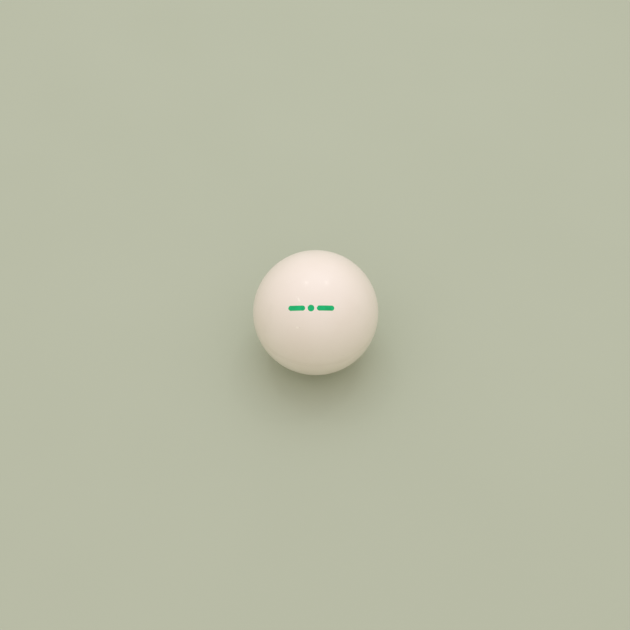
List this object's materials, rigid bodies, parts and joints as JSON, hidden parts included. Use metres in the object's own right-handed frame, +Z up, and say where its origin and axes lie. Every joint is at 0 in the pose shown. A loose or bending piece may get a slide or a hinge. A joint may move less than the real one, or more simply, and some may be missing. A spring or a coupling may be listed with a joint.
{
  "type": "field hockey ball",
  "caption": "Smooth white field hockey ball: welded two-cup PVC cover with a ground-flush seam over a quilted core of cork strips and wound twine on a cork pill.",
  "frame": {"origin": "centre of the ball", "axes": "+Z up through the pole of the upper cover cup, square to the seam; -Y towards the side that carries the printed mark and faces the picture's camera; +X to the right in that view"},
  "size_m": [0.073, 0.073, 0.073],
  "materials": {
    "cover_pvc": "satin, warm white moulded PVC with fine handling marks",
    "print_ink": "satin, thin green pad-printed film",
    "twine": "matte, undyed wound twine",
    "sheet_cork": "matte, pale brown agglomerated cork sheet",
    "pill_cork": "matte, darker moulded cork and rubber compound"
  },
  "bodies": {
    "root": {"cork_centre_pill": "pill_cork", "twine_winding_inner": "twine", "cork_strip_inner_1": "sheet_cork", "cork_strip_inner_2": "sheet_cork", "cork_strip_inner_3": "sheet_cork", "cork_strip_inner_4": "sheet_cork", "cork_strip_inner_5": "sheet_cork", "cork_strip_inner_6": "sheet_cork", "twine_winding_middle": "twine", "cork_strip_outer_1": "sheet_cork", "cork_strip_outer_2": "sheet_cork", "cork_strip_outer_3": "sheet_cork", "cork_strip_outer_4": "sheet_cork", "cork_strip_outer_5": "sheet_cork", "cork_strip_outer_6": "sheet_cork", "cork_strip_outer_7": "sheet_cork", "cork_strip_outer_8": "sheet_cork", "twine_winding_outer": "twine", "cover_half_upper": "cover_pvc", "cover_half_lower": "cover_pvc", "seam_weld_bead": "cover_pvc"}
  },
  "joints": []
}
